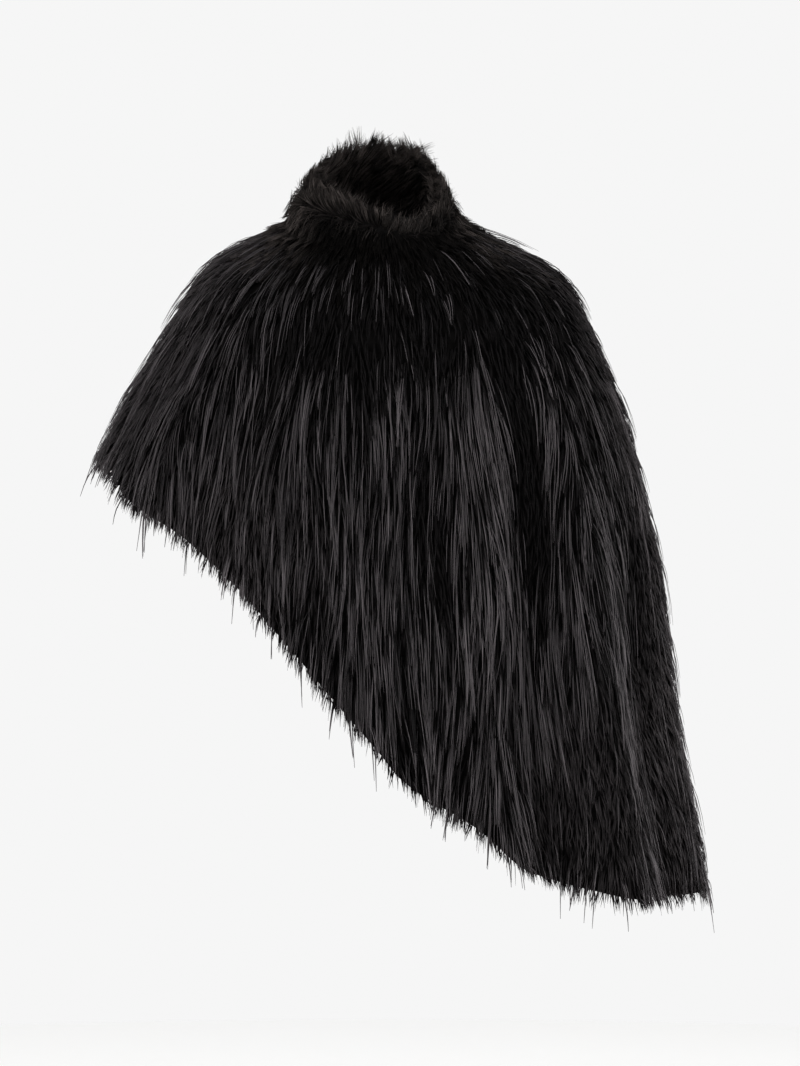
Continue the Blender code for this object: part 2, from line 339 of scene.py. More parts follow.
# A strand: how clear of the backing's edge it roots, its length before it is combed, its sides, and the
# powers by which it gathers, sways and tapers from root to tip
ROOT_CLEAR = 0.001
SEEDLING = 1e-5
STRAND_SIDES = 3
GATHER_POWER = 0.7
SWAY_POWER = 1.5
TAPER_POWER = 1.6

# The map of the strands: root to tip across, and rows of tone from dark to the painted sheen's bright
# colour
STRAND_MAP = "OFBake"
TONE_ROWS = 24
TONE_ROW_SPAN = (0.2, 0.95)
BRIGHTEST = 0.999
KEPT_LAYERS = ("position", STRAND_MAP, "material_index", "sharp_face")

# Finishes of the hair, whose bright colour is painted sheen that each strand's tone mixes in, and the
# share of its length over which that painted sheen grows from the root
Hair = namedtuple("Hair", "dark bright root_tone dull glossy specular")
HAIR = {
    "long_locks": Hair((0.0011, 0.0010, 0.0011, 1), (0.110, 0.099, 0.104, 1), 0.3, 0.50, 0.34, 0.08),
    "guard_hair": Hair((0.0011, 0.0010, 0.0011, 1), (0.122, 0.111, 0.116, 1), 0.3, 0.50, 0.36, 0.08),
    "underfur": Hair((0.0012, 0.0009, 0.0010, 1), (0.120, 0.107, 0.111, 1), 0.6, 0.75, 0.60, 0.06),
    "collar_fur": Hair((0.0014, 0.0011, 0.0010, 1), (0.065, 0.055, 0.051, 1), 0.3, 0.60, 0.45, 0.05),
}
ROOT_TONE_ENDS = 0.5

# Mottled finishes of the backing and the floor
Mottled = namedtuple("Mottled", "dark bright scale detail roughness")
# The pile side is far darker than the knit's own black: dense fur roots and painted shade under the pile
PILE_ROOTS_AND_SHADE = Mottled((0.0008, 0.0007, 0.0007, 1), (0.0030, 0.0026, 0.0026, 1), 220.0, 3.0, 0.95)
PILE_ROOTS_SPECULAR = 0.05
KNIT = Mottled((0.006, 0.006, 0.006, 1), (0.024, 0.023, 0.024, 1), 60.0, 4.0, 0.85)
KNIT_RIBS = {"Scale": 90.0, "Distortion": 0.6, "Detail": 1.0}
KNIT_RELIEF = {"Strength": 0.35, "Distance": 0.0008}
PALE_FLOOR = Mottled((0.80, 0.80, 0.79, 1), (0.84, 0.84, 0.84, 1), 30.0, 3.0, 0.8)
FLOOR_GLOW = 0.79

# Stage: the camera, the white paper, the floor and the lights
PHOTO_HEIGHT = 1066
METRES_PER_PIXEL = 0.0012
CAMERA_AWAY = 4.5
LOOK_AT = (0.0216, 0.0, -0.358)
SENSOR = 24.0
PAPER = 0.921
FRONT_FILL = 0.02
BACK_FILL = 0.5
BACK_FILL_FROM = 0.8
FLOOR_HEIGHT = -1.46
FLOOR_RADIUS = 4.0
FLOOR_SIDES = 96
Softbox = namedtuple("Softbox", "name place size power")
SOFTBOXES = [
    Softbox("left_softbox", (-2.4, -2.2, 0.3), (1.4, 2.2), 105),
    Softbox("right_softbox", (2.7, -1.8, 0.1), (1.4, 2.2), 78),
    Softbox("right_edge_softbox", (2.7, 0.5, -0.3), (1.0, 1.8), 45),
    Softbox("top_softbox", (0.0, -0.6, 2.4), (2.0, 1.2), 35),
]


def smooth_curve(places, values):
    """A curve through the given values that never overshoots them, held at its ends."""
    places, values = np.array(places, float), np.array(values, float)
    steps = np.diff(places)
    rises = np.diff(values) / steps
    slopes = np.zeros(len(places))
    slopes[0], slopes[-1] = rises[0], rises[-1]
    for i in range(1, len(places) - 1):
        before, after = rises[i - 1], rises[i]
        if before * after > 0:
            slopes[i] = 2 * before * after / (before + after)

    def value(place):
        place = np.clip(place, places[0], places[-1])
        i = np.clip(np.searchsorted(places, place) - 1, 0, len(steps) - 1)
        t = (place - places[i]) / steps[i]
        low = values[i] * (1 + 2 * t) + slopes[i] * steps[i] * t
        high = values[i + 1] * (3 - 2 * t) - slopes[i + 1] * steps[i] * (1 - t)
        return low * (1 - t) ** 2 + high * t**2

    return value


def columns_of(rows, key):
    """One smooth curve for each column of a table, read by its key column."""
    keys = [getattr(row, key) for row in rows]
    return {name: smooth_curve(keys, [getattr(row, name) for row in rows]) for name in rows[0]._fields}


LEVEL_AT = columns_of(LEVELS, "drop")
COLLAR_AT = columns_of(COLLAR, "share")
FRONT_HEM = columns_of(HEM, "angle")["drop"]
RIM_HEIGHT = columns_of(RIM, "angle")["height"]


def wrapped(angle):
    """The same angle from -180 up to 180."""
    return (angle + 180) % 360 - 180


def unit(vectors):
    return vectors / np.maximum(np.linalg.norm(vectors, axis=-1, keepdims=True), 1e-12)


def ramp(value, low, high):
    """0 below low, 1 above high and smooth between them."""
    share = np.clip((value - low) / (high - low), 0, 1)
    return share * share * (3 - 2 * share)


def hem_drop(angle):
    """How far down the hem lies, where the back mirrors the front a little higher."""
    angle = wrapped(angle)
    mirrored = np.where(np.abs(angle) <= SIDE_SEAM, angle, np.copysign(180 - np.abs(angle), angle))
    back_share = np.maximum(0.0, -np.cos(np.radians(angle)))
    return FRONT_HEM(mirrored) - BACK_HEM_RISE * back_share


def oval(angle, left, right, front, back, corner):
    """Flat points of a section that reaches a different way to each side, and the ways out from them."""
    turn = np.radians(angle)
    square = corner * np.sin(2 * turn)
    wide = np.where(np.sin(turn) > 0, right, left)
    deep = np.where(np.cos(turn) > 0, front, back)
    points = np.stack([wide * np.sin(turn + square), -deep * np.cos(turn - square), 0 * turn], axis=-1)
    out = unit(np.stack([np.sin(turn) / wide, -np.cos(turn) / deep, 0 * turn], axis=-1))
    return points, out


def fold_depth(angle, drop):
    """How far the folds stand out from the drape."""
    total = np.zeros_like(angle)
    for fold in FOLDS:
        off = np.minimum(np.abs(wrapped(angle - fold.angle)) / fold.width, 1)
        grown = np.clip((drop - fold.start) / FOLD_GROWS_OVER, 0, 1)
        total += fold.depth * np.sin(grown * math.pi / 2) * np.cos(off * math.pi / 2) ** 2
    return total


def nod_drop(angle, nod):
    """How far a section tips down at the front, and up by a share of that at the back."""
    facing = np.cos(np.radians(angle))
    behind = np.sqrt(np.maximum(-facing, 0))
    return nod * facing * (1 - (1 - BACK_NOD_SHARE) * behind)


def drop_at(angle, way):
    """How far down a way on the body lies, before the nod."""
    return SEAM.drop + (hem_drop(angle) - SEAM.drop) * way


def drape(angle, way):
    """Points on the outside of the body."""
    drop = drop_at(angle, way)
    sizes = [LEVEL_AT[name](drop) for name in ("left", "right", "front", "back", "corner")]
    points, out = oval(angle, *sizes)
    points = points + out * fold_depth(angle, drop)[..., None]
    points[..., 2] = -drop - nod_drop(angle, LEVEL_AT["nod"](drop))
    return points


def collar(angle, share):
    """Points on the outside of the collar, by their share of the way from the neck seam to the rim."""
    sizes = [COLLAR_AT[name](share) for name in ("left", "right", "front", "back")]
    points, _ = oval(angle, *sizes, SEAM.corner)
    foot = -SEAM.drop - nod_drop(angle, SEAM.nod)
    points[..., 2] = foot + (RIM_HEIGHT(wrapped(angle)) - foot) * share
    return points


def outside(angle, way):
    """Points on the cape's outside."""
    angle, way = np.broadcast_arrays(np.asarray(angle, float), np.asarray(way, float))
    on_body = (way >= 0)[..., None]
    return np.where(on_body, drape(angle, np.maximum(way, 0)), collar(angle, np.maximum(-way, 0)))


def onward(angle, way):
    """Directions along the cloth from the collar's rim to the hem."""
    here = outside(angle, way)
    before = here - outside(angle, way - WAY_STEP)
    after = outside(angle, way + WAY_STEP) - here
    return unit(unit(before) + unit(after))


def sideways(angle, way):
    """Directions along the cloth towards larger angles."""
    return unit(outside(angle + TURN_STEP, way) - outside(angle - TURN_STEP, way))


def outward(angle, way):
    return unit(np.cross(onward(angle, way), sideways(angle, way)))


def straight_down(angle, way):
    """The part of straight down that lies in the cloth, which is long where the cloth is steep."""
    out = outward(angle, way)
    return np.array([0.0, 0.0, -1.0]) + out * out[..., 2:]


def below_outside(angle, way, depth):
    return outside(angle, way) - outward(angle, way) * np.asarray(depth)[..., None]


def grid_faces(rows, columns):
    """Faces of a grid of vertices that is numbered row by row."""
    corner = np.arange(rows - 1)[:, None] * columns + np.arange(columns - 1)[None, :]
    return np.stack([corner, corner + columns, corner + columns + 1, corner + 1], axis=-1).reshape(-1, 4)


def spread(across, down):
    """Every pair of a value across and a value down, row by row."""
    return [grid.ravel() for grid in np.meshgrid(across, down)]


def mesh_of(name, points, faces):
    mesh = bpy.data.meshes.new(name)
    mesh.from_pydata(points.tolist(), [], faces.tolist())
    mesh.validate()
    mesh.shade_smooth()
    return mesh


def show(name, mesh, *materials):
    """Puts a finished mesh into the scene as a piece of its own."""
    piece = bpy.data.objects.new(name, mesh)
    for material in materials:
        if material.name not in mesh.materials:
            mesh.materials.append(material)
    bpy.context.scene.collection.objects.link(piece)
    return piece


def add(tree, kind, feeds=(), settings=None, out=0):
    """Adds a node, sets or links its inputs by name or in order, and returns one of its outputs."""
    node = tree.nodes.new(kind)
    for key, value in (settings or {}).items():
        setattr(node, key, value)
    sockets = [socket for socket in node.inputs if socket.enabled]
    by_name = {socket.name: socket for socket in reversed(sockets)}
    pairs = feeds.items() if isinstance(feeds, dict) else enumerate(feeds)
    for key, value in pairs:
        socket = by_name[key] if isinstance(key, str) else sockets[key]
        if isinstance(value, bpy.types.NodeSocket):
            tree.links.new(value, socket)
        else:
            socket.default_value = value
    if isinstance(out, str):
        return node.outputs[out]
    return [socket for socket in node.outputs if socket.enabled][out]


def calc(tree, operation, *feeds):
    return add(tree, "ShaderNodeMath", feeds, {"operation": operation})


def product(tree, first, *others):
    for other in others:
        first = calc(tree, "MULTIPLY", first, other)
    return first


def vector_sum(tree, first, *others):
    for other in others:
        first = add(tree, "ShaderNodeVectorMath", [first, other], {"operation": "ADD"})
    return first


def scaled(tree, vector, factor):
    return add(tree, "ShaderNodeVectorMath", {"Vector": vector, "Scale": factor}, {"operation": "SCALE"})


def between(tree, share, low, high):
    return add(tree, "ShaderNodeMix", [share, low, high], {"data_type": "FLOAT"})


def blend(tree, share, low, high):
    return add(tree, "ShaderNodeMix", {"Factor": share, "A": low, "B": high}, {"data_type": "RGBA"})


def stored(tree, name, kind="FLOAT"):
    return add(tree, "GeometryNodeInputNamedAttribute", [name], {"data_type": kind})


def store(tree, geometry, name, value, kind="FLOAT", domain="POINT"):
    """The geometry with a value kept on it by name."""
    feeds = {"Geometry": geometry, "Name": name, "Value": value}
    return add(tree, "GeometryNodeStoreNamedAttribute", feeds, {"data_type": kind, "domain": domain})


def chance(tree, draw, who=None):
    """A random share from 0 to 1 for each element, or for each number in who."""
    feeds = {"Min": 0.0, "Max": 1.0, "Seed": DRAWS[draw]}
    if who is not None:
        feeds["ID"] = who
    return add(tree, "FunctionNodeRandomValue", feeds, {"data_type": "FLOAT"})


def any_way(tree, draw, who):
    """A random direction, of any length up to 1 along each axis, for each number in who."""
    feeds = {"Min": (-1, -1, -1), "Max": (1, 1, 1), "ID": who, "Seed": DRAWS[draw]}
    return add(tree, "FunctionNodeRandomValue", feeds, {"data_type": "FLOAT_VECTOR"})


def fur_tree():
    """Strands that grow on a bed, follow its flow, gather in locks and taper to their tips."""
    tree = bpy.data.node_groups.new("fur_strands", "GeometryNodeTree")
    inputs = {"Bed": "Geometry", **{size.name: "Float" for size in FUR_SIZES}}
    inputs.update({"Steps": "Int", "Seed": "Int", "Material": "Material"})
    for name, kind in inputs.items():
        tree.interface.new_socket(name, in_out="INPUT", socket_type="NodeSocket" + kind)
    tree.interface.new_socket("Fur", in_out="OUTPUT", socket_type="NodeSocketGeometry")
    asked = tree.nodes.new("NodeGroupInput").outputs
    roots = fur_roots(tree, asked)
    lines = combed_lines(tree, asked, roots)
    strands, along = raised_strands(tree, asked, lines)
    fur = tapered_mesh(tree, asked, strands, along)
    tree.links.new(fur, tree.nodes.new("NodeGroupOutput").inputs["Fur"])
    return tree


def fur_roots(tree, asked):
    """Root points, each with its length, its width, its tone and the way to the middle of its lock."""
    here = add(tree, "GeometryNodeInputPosition")
    scatter = "GeometryNodeDistributePointsOnFaces"
    density = product(tree, stored(tree, "cover"), asked["Strands"])
    roots = add(tree, scatter, {"Mesh": asked["Bed"], "Density": density, "Seed": asked["Seed"]})
    lock_seed = calc(tree, "ADD", asked["Seed"], 1.0)
    locks = add(tree, scatter, {"Mesh": asked["Bed"], "Density": asked["Locks"], "Seed": lock_seed})
    lock = add(tree, "GeometryNodeSampleNearest", {"Geometry": locks, "Sample Position": here})
    feeds = {"Geometry": locks, "Value": here, "Index": lock}
    middle = add(tree, "GeometryNodeSampleIndex", feeds, {"data_type": "FLOAT_VECTOR"})
    strand_luck = chance(tree, "strand")

    # A share of the full length, cut off a little past the hem, with a longer and wider wisp now and then
    room = stored(tree, "room")
    share = between(tree, chance(tree, "lock_length", lock), asked["Shortest"], 1.0)
    share = product(tree, share, stored(tree, "pile"))
    full = product(tree, asked["Length"], share, between(tree, strand_luck, *STRAND_LENGTH))
    is_wisp = calc(tree, "LESS_THAN", chance(tree, "lock_is_wisp", lock), asked["Wisps"])
    past = between(tree, is_wisp, asked["Overhang"], asked["Wisp Overhang"])
    past = product(tree, past, between(tree, chance(tree, "lock_overhang", lock), *LOCK_OVERHANG))
    past = product(tree, past, between(tree, strand_luck, *STRAND_OVERHANG))
    length = calc(tree, "MINIMUM", full, calc(tree, "ADD", room, past))
    hangs = product(tree, is_wisp, calc(tree, "GREATER_THAN", length, room))
    width = product(tree, stored(tree, "width"), between(tree, hangs, 1.0, asked["Wisp Width"]))

    # Painted sheen streaks: tone, random for each lock and strand and scaled by the bed's painted sheen
    # and gloss, mixes the strand's colour towards its bright colour
    tone = calc(tree, "POWER", chance(tree, "lock_tone", lock), asked["Dark Locks"])
    tone = product(tree, tone, between(tree, strand_luck, *STRAND_TONE), stored(tree, "gloss"))
    to_lock = add(tree, "ShaderNodeVectorMath", [middle, here], {"operation": "SUBTRACT"})
    stray = scaled(tree, any_way(tree, "lock_stray", lock), product(tree, asked["Stray"], length))
    roots = store(tree, roots, "to_lock", to_lock, "FLOAT_VECTOR")
    roots = store(tree, roots, "stray", stray, "FLOAT_VECTOR")
    roots = store(tree, roots, "strand_length", length)
    roots = store(tree, roots, "width", width)
    roots = store(tree, roots, "lock_luck", chance(tree, "lock_lift", lock))
    roots = store(tree, roots, "strand_luck", strand_luck)
    return store(tree, roots, "tone", calc(tree, "MINIMUM", tone, BRIGHTEST))


def on_bed(tree, asked, value, place):
    """A value of the bed at the point that is nearest to a place."""
    feeds = {"Mesh": asked["Bed"], "Value": value, "Sample Position": place}
    return add(tree, "GeometryNodeSampleNearestSurface", feeds, {"data_type": "FLOAT_VECTOR"})


def laid(tree, asked, place):
    """The point of the bed that is nearest to a place."""
    feeds = {"Geometry": asked["Bed"], "Sample Position": place}
    return add(tree, "GeometryNodeProximity", feeds, out="Position")


def combed_lines(tree, asked, roots):
    """A short line on each root above the hem, combed along the bed's flow one step at a time."""
    here = add(tree, "GeometryNodeInputPosition")
    steps = asked["Steps"]
    line = add(tree, "GeometryNodeCurvePrimitiveLine", {"End": (0, 0, SEEDLING)})
    feeds = {"Curve": line, "Count": calc(tree, "ADD", steps, 1.0)}
    line = add(tree, "GeometryNodeResampleCurve", feeds)
    on_cloth = calc(tree, "GREATER_THAN", stored(tree, "room"), HEM_INSET + ROOT_CLEAR)
    feeds = {"Points": roots, "Selection": on_cloth, "Instance": line}
    lines = add(tree, "GeometryNodeInstanceOnPoints", feeds)
    lines = add(tree, "GeometryNodeRealizeInstances", {"Geometry": lines})
    comb_in = tree.nodes.new("GeometryNodeRepeatInput")
    comb_out = tree.nodes.new("GeometryNodeRepeatOutput")
    comb_in.pair_with_output(comb_out)
    tree.links.new(steps, comb_in.inputs["Iterations"])
    tree.links.new(lines, comb_in.inputs["Geometry"])
    number = add(tree, "GeometryNodeSplineParameter", out="Index")
    later = {"data_type": "INT", "operation": "GREATER_THAN"}
    still_moving = add(tree, "FunctionNodeCompare", [number, comb_in.outputs["Iteration"]], later)
    step = calc(tree, "DIVIDE", stored(tree, "strand_length"), steps)
    move = scaled(tree, on_bed(tree, asked, stored(tree, "flow", "FLOAT_VECTOR"), here), step)
    feeds = {
        "Geometry": comb_in.outputs["Geometry"],
        "Selection": still_moving,
        "Position": laid(tree, asked, vector_sum(tree, here, move)),
    }
    tree.links.new(add(tree, "GeometryNodeSetPosition", feeds), comb_out.inputs["Geometry"])
    return comb_out.outputs["Geometry"]


def raised_strands(tree, asked, lines):
    """The lines drawn together towards the middle of their lock and raised from the bed."""
    here = add(tree, "GeometryNodeInputPosition")
    number = add(tree, "GeometryNodeSplineParameter", out="Index")
    along = calc(tree, "DIVIDE", number, asked["Steps"])
    pull = between(tree, calc(tree, "POWER", along, GATHER_POWER), asked["Root Gather"], asked["Gather"])
    to_lock = scaled(tree, stored(tree, "to_lock", "FLOAT_VECTOR"), pull)
    stray = scaled(tree, stored(tree, "stray", "FLOAT_VECTOR"), along)
    strand = add(tree, "GeometryNodeCurveOfPoint", out="Curve Index")
    sway = product(tree, asked["Waver"], calc(tree, "POWER", along, SWAY_POWER))
    sway = scaled(tree, any_way(tree, "strand_sway", strand), sway)
    ground = laid(tree, asked, vector_sum(tree, here, to_lock, stray, sway))
    outwards = on_bed(tree, asked, add(tree, "GeometryNodeInputNormal"), ground)
    lying = calc(tree, "POWER", calc(tree, "SUBTRACT", 1.0, along), asked["Rise"])
    height = product(tree, asked["Lift"], calc(tree, "SUBTRACT", 1.0, lying), stored(tree, "stand"))
    height = product(tree, height, between(tree, stored(tree, "lock_luck"), *LOCK_LIFT))
    height = product(tree, height, between(tree, stored(tree, "strand_luck"), *STRAND_LIFT))
    place = vector_sum(tree, ground, scaled(tree, outwards, height))
    strands = add(tree, "GeometryNodeSetPosition", {"Geometry": lines, "Position": place})
    return store(tree, strands, "along", along), along


def tapered_mesh(tree, asked, strands, along):
    """Strands of a few sides that taper to their tips, mapped from root to tip and by their tone."""
    thinner = calc(tree, "SUBTRACT", 1.0, asked["Tip Share"])
    thinner = product(tree, thinner, calc(tree, "POWER", along, TAPER_POWER))
    taper = calc(tree, "SUBTRACT", 1.0, thinner)
    radius = product(tree, asked["Root Radius"], taper, stored(tree, "width"))
    number = add(tree, "GeometryNodeSplineParameter", out="Index")
    ring = add(tree, "GeometryNodeCurvePrimitiveCircle", {"Resolution": STRAND_SIDES, "Radius": 1.0})
    ring = store(tree, ring, "side", calc(tree, "DIVIDE", number, float(STRAND_SIDES)))
    feeds = {"Curve": strands, "Profile Curve": ring, "Scale": radius, "Fill Caps": True}
    fur = add(tree, "GeometryNodeCurveToMesh", feeds)
    row = calc(tree, "FLOOR", product(tree, stored(tree, "tone"), float(TONE_ROWS)))
    inside_row = between(tree, stored(tree, "side"), *TONE_ROW_SPAN)
    across = calc(tree, "DIVIDE", calc(tree, "ADD", row, inside_row), float(TONE_ROWS))
    spot = add(tree, "ShaderNodeCombineXYZ", [stored(tree, "along"), across])
    fur = store(tree, fur, STRAND_MAP, spot, "FLOAT2", "CORNER")
    fur = add(tree, "GeometryNodeSetShadeSmooth", {"Geometry": fur})
    fur = add(tree, "GeometryNodeRealizeInstances", {"Geometry": fur})
    return add(tree, "GeometryNodeSetMaterial", {"Geometry": fur, "Material": asked["Material"]})


def grow(name, layer, bed, tree, seed, material):
    """A piece of plain mesh strands grown on a bed, which itself isn't kept."""
    carrier = show(name + "_bed", bed)
    modifier = carrier.modifiers.new("fur", "NODES")
    modifier.node_group = tree
    values = {size.name: getattr(size, layer) for size in FUR_SIZES}
    values.update({"Seed": seed, "Material": material})
    for item in tree.interface.items_tree:
        if item.in_out == "INPUT" and item.name in values:
            modifier[item.identifier] = values[item.name]
    grown = carrier.evaluated_get(bpy.context.evaluated_depsgraph_get())
    mesh = bpy.data.meshes.new_from_object(grown)
    mesh.name = name
    bpy.data.objects.remove(carrier)
    bpy.data.meshes.remove(bed)
    names = [attribute.name for attribute in mesh.attributes]
    for helper in names:
        if helper not in KEPT_LAYERS and not helper.startswith("."):
            mesh.attributes.remove(mesh.attributes[helper])
    return show(name, mesh, material)


def bed_mesh(name, points, columns, values):
    """A guide surface for fur, with the flow and other values at each vertex."""
    mesh = mesh_of(name, points, grid_faces(len(points) // columns, columns))
    for key, numbers in values.items():
        is_vector = numbers.ndim == 2
        layer = mesh.attributes.new(key, "FLOAT_VECTOR" if is_vector else "FLOAT", "POINT")
        layer.data.foreach_set("vector" if is_vector else "value", numbers.astype(np.float32).ravel())
    return mesh


def bed_angles(past_seam):
    """Angles from the middle of a panel to a little past its side seams."""
    reach = SIDE_SEAM + past_seam
    return np.arange(-reach, reach + BED_STEP, BED_STEP, dtype=float)


def seam_cover(off_middle):
    """1 on a panel, falling to 0 across the side seam where the next panel's fur takes over."""
    return np.clip((SIDE_SEAM + BED_STEP / 2 - np.abs(off_middle)) / BED_STEP, 0, 1)


def patch_shares(angle, drop):
    """Shares of the usual: how thick and long the long locks are, and the short fur's painted sheen or
    shade.
    """
    shares = {kind: np.ones_like(angle) for kind in LEAST_SHARES}
    for patch in PATCHES:
        off = np.hypot(wrapped(angle - patch.angle) / patch.wide, (drop - patch.drop) / patch.tall)
        inside = ramp(1 - off, 0.0, PATCH_EDGE)
        for kind in shares:
            shares[kind] += getattr(patch, kind) * inside
    return [np.maximum(shares[kind], least) for kind, least in LEAST_SHARES.items()]


def swirl_turn(angle, drop):
    """How far the body's hair turns aside, in radians."""
    turn = np.radians(angle)
    swirl = sum(np.radians(wave.turn) * np.sin(wave.round * turn + wave.down * drop) for wave in SWIRLS)
    return swirl * ramp(drop, 0.0, SWIRLS_GROW_OVER)


def bunches(angle, drop):
    """Uneven bunches of long locks, from 0 to 1, that run down the cape."""
    turn = np.radians(angle)
    waves = sum(np.sin(wave.round * turn + wave.down * drop + wave.shift) for wave in BUNCHES)
    return ramp(waves, -BUNCH_EDGE, BUNCH_EDGE)


def panel_bed(name, middle, lay):
    """The bed of one body panel, carried on past its side seams and its hem."""
    across = bed_angles(PAST_SEAM)
    off_middle, share = spread(across, np.linspace(0, 1, BED_ROWS))
    angle = wrapped(middle + off_middle)
    fall = hem_drop(angle) - SEAM.drop
    way = (1 + PAST_HEM / fall) * share**ROW_EASE
    drop = drop_at(angle, way)
    swirl = swirl_turn(angle, drop)[:, None]
    combed = unit(onward(angle, way) + HANG * straight_down(angle, way))
    values = {
        "flow": unit(np.cos(swirl) * combed + np.sin(swirl) * sideways(angle, way)),
        "room": (1 - way) * fall * SLOPE,
        "cover": seam_cover(off_middle),
        "pile": np.ones_like(angle),
        "stand": np.ones_like(angle),
        "gloss": np.ones_like(angle),
        "width": np.ones_like(angle),
    }
    lay(angle, drop, values)
    return bed_mesh(name, below_outside(angle, way, PILE_DEPTH), len(across), values)


def lay_long_locks(angle, drop, values):
    """Long locks in bunches, as thick and as long as the patches say."""
    locks, length, _ = patch_shares(angle, drop)
    values["cover"] *= locks * (LOCKS_BETWEEN_BUNCHES + LOCKS_BY_BUNCH * bunches(angle, drop))
    values["pile"] *= length


def lay_guard_hair(angle, drop, values):
    """Guard hair, sparser where the short fur is fine."""
    locks, length, plush = patch_shares(angle, drop)
    cover = GUARD_COVER + GUARD_COVER_BY_LOCKS * np.minimum(locks, GUARD_MOST_LOCKS)
    values["cover"] *= cover * (1 - GUARD_FINE_THINNED * ramp(plush, *FINE_PLUSH))
    values["pile"] *= GUARD_PILE + GUARD_PILE_BY_LENGTH * length
    # Painted sheen and shade on guard hair, held to a most, with its gloss
    values["gloss"] *= GUARD_SHEEN_AND_GLOSS * np.minimum(plush, GUARD_MOST_SHEEN)


def lay_underfur(angle, drop, values):
    """Underfur, denser and narrower at the hem and where it is fine."""
    _, _, plush = patch_shares(angle, drop)
    at_hem = 1 - ramp(values["room"], *AT_HEM)
    fine = ramp(plush, *FINE_PLUSH)
    values["cover"] *= 1 + UNDERFUR_HEM_COVER * at_hem
    values["cover"] *= 1 + UNDERFUR_FINE_COVER * fine * (1 - at_hem)
    values["width"] *= 1 - UNDERFUR_HEM_NARROWED * at_hem
    values["width"] *= 1 - UNDERFUR_FINE_NARROWED * fine * (1 - at_hem)
    values["pile"] *= 1 - UNDERFUR_FINE_TRIMMED * fine
    # Painted sheen and shade on underfur, scaled from a low start
    values["gloss"] *= UNDERFUR_SHEEN_AND_GLOSS * plush


# The layers of body fur: how each is laid, and the slot that its finish belongs to
Layer = namedtuple("Layer", "lay slot")
LAYERS = {
    "long_locks": Layer(lay_long_locks, "guard_hair"),
    "guard_hair": Layer(lay_guard_hair, "guard_hair"),
    "underfur": Layer(lay_underfur, "body_fur"),
}

CollarPart = namedtuple("CollarPart", "rows start end depth_start depth_end in_facing")


def collar_rows():
    """The collar's bed: up from the foot of the facing, on past the rim, and down onto the drape."""
    inner = PILE_DEPTH + COLLAR_FOLD
    crest = (inner + PILE_DEPTH) / 2
    top = -1 - PAST_RIM
    past_rim = RIM_WAY - COLLAR_BED_GAP
    parts = [
        CollarPart(12, -COLLAR_BED_GAP, RIM_WAY, inner, inner, 1.0),
        CollarPart(6, past_rim, top, inner, crest + CREST_HALF, 1.0),
        CollarPart(6, top, past_rim, crest - CREST_HALF, PILE_DEPTH, 0.0),
        CollarPart(14, RIM_WAY, 0.0, PILE_DEPTH, PILE_DEPTH, 0.0),
        CollarPart(6, COLLAR_BED_GAP, PAST_NECK, PILE_DEPTH, PILE_DEPTH, 0.0),
    ]
    way = np.concatenate([np.linspace(part.start, part.end, part.rows) for part in parts])
    depth = np.concatenate([np.linspace(part.depth_start, part.depth_end, part.rows) for part in parts])
    in_facing = np.concatenate([np.full(part.rows, part.in_facing) for part in parts])
    return way, depth, in_facing


def back_corner(angle):
    """From 0 to 1 at one side of the back, between the shoulder and the middle."""
    return ramp(angle, *BACK_CORNER) * (1 - ramp(angle, *BACK_MIDDLE))


def collar_zones(angle, way, height, in_facing):
    """How far each point lies in each zone of the collar, from 0 to 1."""
    behind = ramp(np.abs(angle), *BEHIND)
    rim = ramp(height, *NEAR_RIM)
    in_light = np.maximum(behind, ramp(-angle, *SHORT_SIDE_LIT))
    in_front = 1 - ramp(np.abs(angle - FRONT_MIDDLE), *FRONT_REACH)
    return {
        "rim": rim,
        "rim_in_front": rim * (1 - behind),
        "rim_behind": rim * behind,
        "rim_left_back": rim * back_corner(-angle),
        "rim_right_back": rim * back_corner(angle),
        "front_below_rim": in_front * (1 - ramp(height, *BELOW_RIM)) * (1 - in_facing),
        "facing": in_facing,
        "lit_facing": in_light * ramp(height, *LIT_HEIGHT) * in_facing,
        "below_neck_seam": ramp(way, *COLLAR_FUR_FLATTENS),
    }


def collar_flow(angle, way, height, in_facing):
    """The way the collar's fur lies: down at its foot, up at its rim and up all over its facing."""
    behind = ramp(np.abs(angle), *BEHIND)
    away = AWAY_LEAN * np.clip(np.sin(np.radians(angle)) * AWAY_GAIN - AWAY_SHIFT, -1, 1)
    away = away * ramp(height, *AWAY_HEIGHT)
    inside = FACING_LEAN - (BACK_LEAN - LEFT_BACK_LEAN * back_corner(-angle)) * behind
    lean = np.where(in_facing > 0, inside, away)
    climb = np.where(in_facing > 0, -1.0, 1.0 - 2.0 * ramp(height, *TURN_UP_HEIGHT))
    combed = onward(angle, way) + HANG * straight_down(angle, way) * (way > 0)[:, None]
    return unit(climb[:, None] * unit(combed) + lean[:, None] * sideways(angle, way))


def collar_bed(name, middle):
    """The bed of half the collar, with fur that falls away from the front and stands up at the rim."""
    way, depth, in_facing = collar_rows()
    across = bed_angles(COLLAR_PAST_SEAM)
    depth = np.repeat(depth, len(across))
    in_facing = np.repeat(in_facing, len(across))
    off_middle, way = spread(across, way)
    angle = wrapped(middle + off_middle)
    height = np.clip(way / RIM_WAY, 0, 1)
    zones = collar_zones(angle, way, height, in_facing)
    values = {
        "flow": collar_flow(angle, way, height, in_facing),
        "room": np.ones_like(angle),
        "width": np.ones_like(angle),
    }
    for kind in CollarZone._fields:
        values[kind] = 1 + sum(getattr(gain, kind) * zones[zone] for zone, gain in COLLAR_ZONES.items())
    on_cloth = np.where(way > 0, 1 - ramp(drop_at(angle, way), *COLLAR_FUR_THINS), way >= RIM_WAY)
    values["cover"] *= seam_cover(off_middle) * on_cloth
    return bed_mesh(name, below_outside(angle, way, depth), len(across), values)


